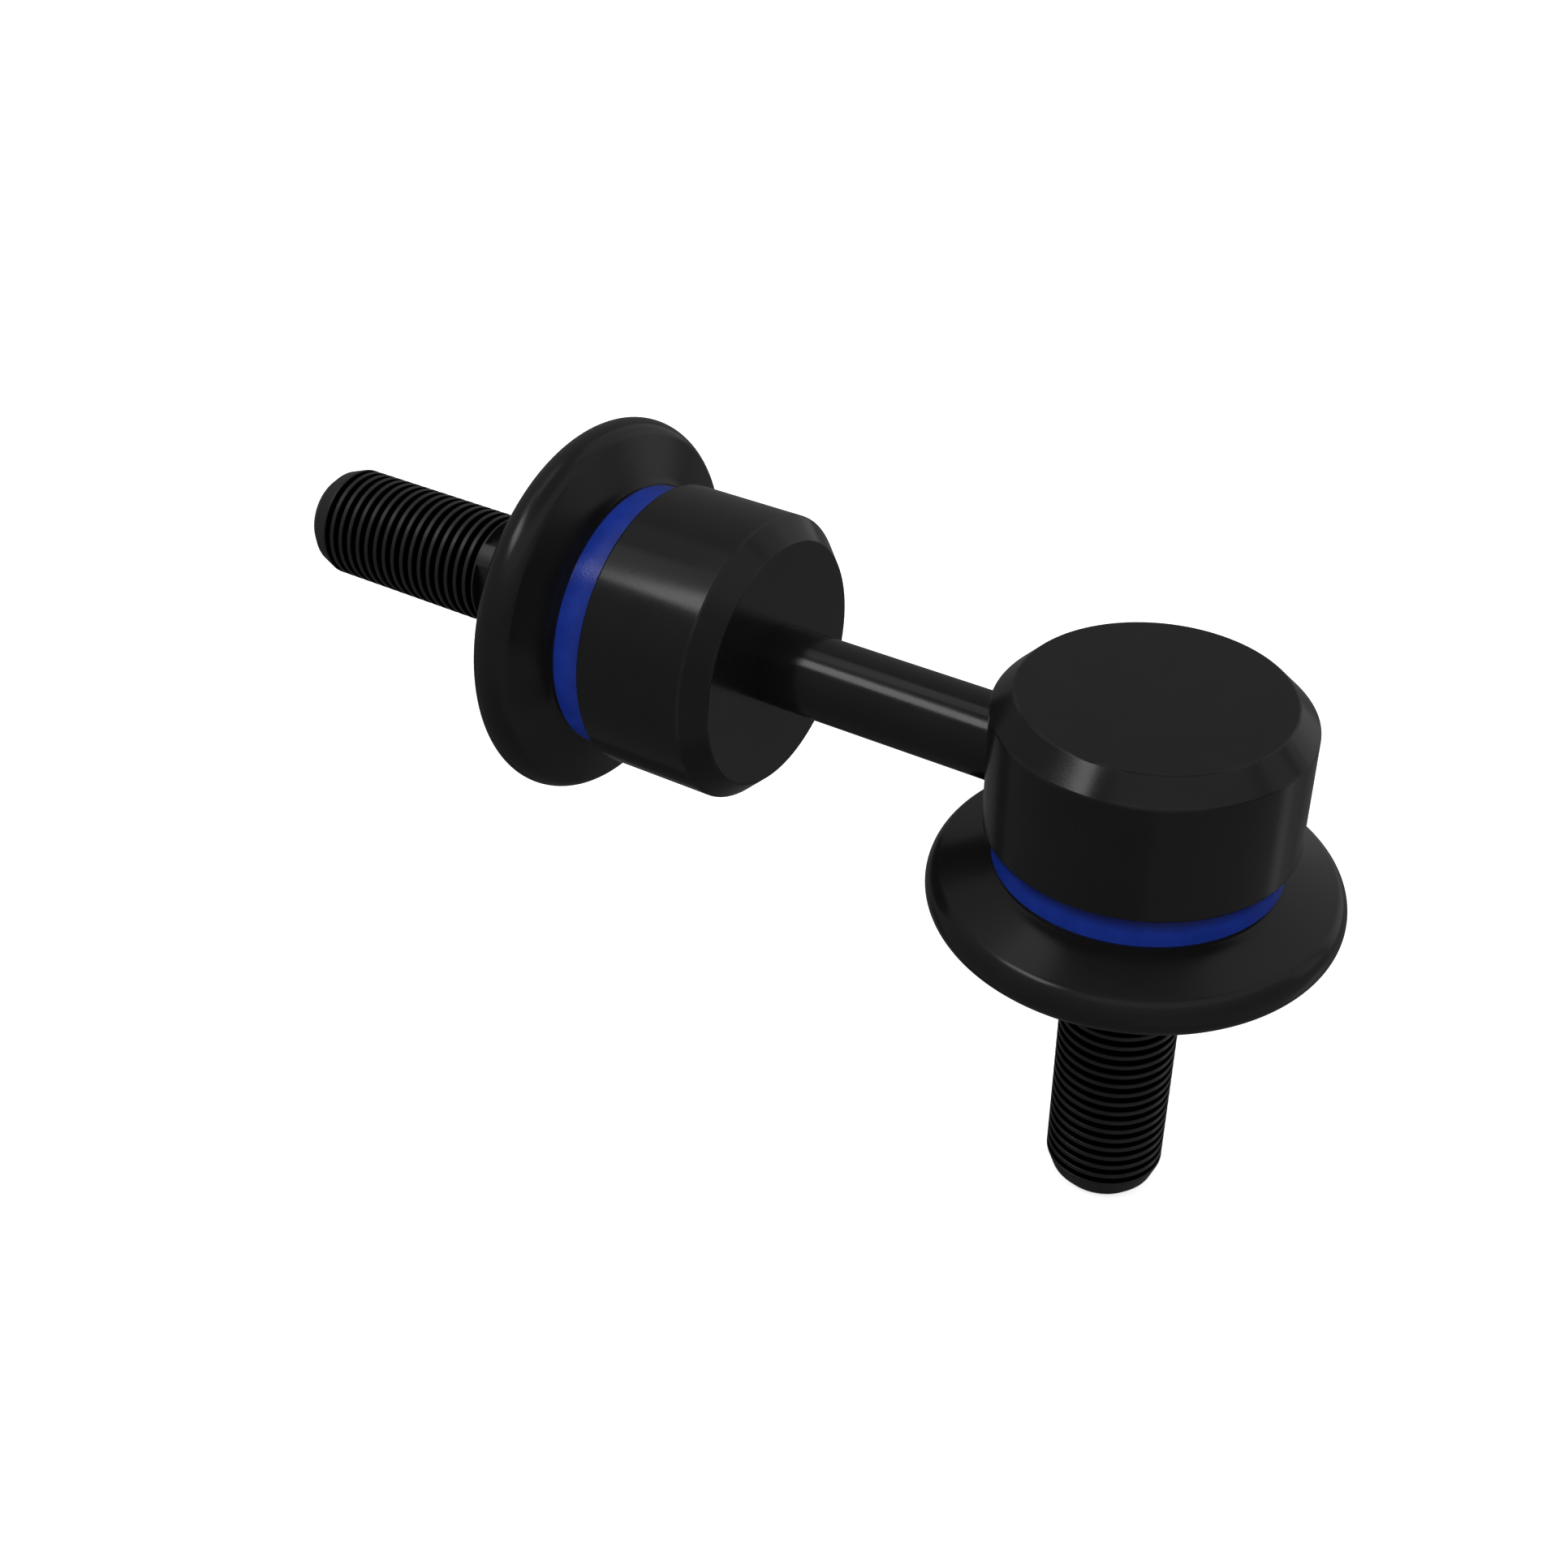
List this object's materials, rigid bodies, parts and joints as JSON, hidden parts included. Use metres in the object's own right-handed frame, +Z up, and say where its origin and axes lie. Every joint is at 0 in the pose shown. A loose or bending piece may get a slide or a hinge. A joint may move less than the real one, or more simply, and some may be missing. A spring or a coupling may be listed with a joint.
{
  "type": "stabiliser link",
  "caption": "Short stabiliser link: a round rod between a radial and an axial ball joint, each a closed cup with a rubber boot, a blue clamp ring and a threaded stud.",
  "frame": {"origin": "centre of the bracket seat on the collar of the radial joint's stud, on the stud's axis", "axes": "+Z up the radial stud towards its ball and the closed face of its housing, +X away from the rod, which runs along -X to the axial joint"},
  "size_m": [0.1197, 0.0402, 0.0687],
  "materials": {
    "black_coated_steel": "glossy black coating",
    "black_stud_steel": "satin black coating",
    "blue_coated_steel": "satin blue coating",
    "black_rubber": "smooth black rubber",
    "bearing_plastic": "natural white plastic",
    "spring_steel": "bright spring steel",
    "bare_steel": "bright turned steel"
  },
  "bodies": {
    "radial_stud": {"radial_ball_stud": "black_stud_steel"},
    "radial_seal_end": {"radial_slide_ring": "bearing_plastic", "radial_lip_spring": "spring_steel"},
    "radial_bellows": {"radial_boot": "black_rubber"},
    "link": {"link_rod": "black_coated_steel", "radial_housing": "black_coated_steel", "radial_preload_washer": "spring_steel", "radial_seat_cup": "bearing_plastic", "radial_seat_ring": "bearing_plastic", "radial_lock_ring": "bare_steel", "radial_boot_clamp": "blue_coated_steel", "axial_housing": "black_coated_steel", "axial_preload_washer": "spring_steel", "axial_seat_cup": "bearing_plastic", "axial_seat_ring": "bearing_plastic", "axial_lock_ring": "bare_steel", "axial_boot_clamp": "blue_coated_steel"},
    "axial_bellows": {"axial_boot": "black_rubber"},
    "axial_seal_end": {"axial_slide_ring": "bearing_plastic", "axial_lip_spring": "spring_steel"},
    "axial_stud": {"axial_ball_stud": "black_stud_steel"}
  },
  "joints": [
    {"name": "radial_spin", "type": "hinge", "parent": "radial_stud", "child": "radial_seal_end", "pos_m": [0, 0, 0.02015], "axis": [0, 0, 1], "continuous": true},
    {"name": "radial_nod", "type": "hinge", "parent": "radial_seal_end", "child": "radial_bellows", "pos_m": [0, 0, 0.02015], "axis": [0, 1, 0], "range_deg": [-15, 15], "deforming": ["radial_boot"]},
    {"name": "radial_roll", "type": "hinge", "parent": "radial_bellows", "child": "link", "pos_m": [0, 0, 0.02015], "axis": [1, 0, 0], "range_deg": [-15, 15], "deforming": ["radial_boot"]},
    {"name": "axial_nod", "type": "hinge", "parent": "link", "child": "axial_bellows", "pos_m": [-0.051, 0, 0.02015], "axis": [0, 1, 0], "range_deg": [-15, 15], "deforming": ["axial_boot"]},
    {"name": "axial_sway", "type": "hinge", "parent": "axial_bellows", "child": "axial_seal_end", "pos_m": [-0.051, 0, 0.02015], "axis": [0, 0, 1], "range_deg": [-15, 15], "deforming": ["axial_boot"]},
    {"name": "axial_spin", "type": "hinge", "parent": "axial_seal_end", "child": "axial_stud", "pos_m": [-0.051, 0, 0.02015], "axis": [-1, 0, 0], "continuous": true}
  ]
}
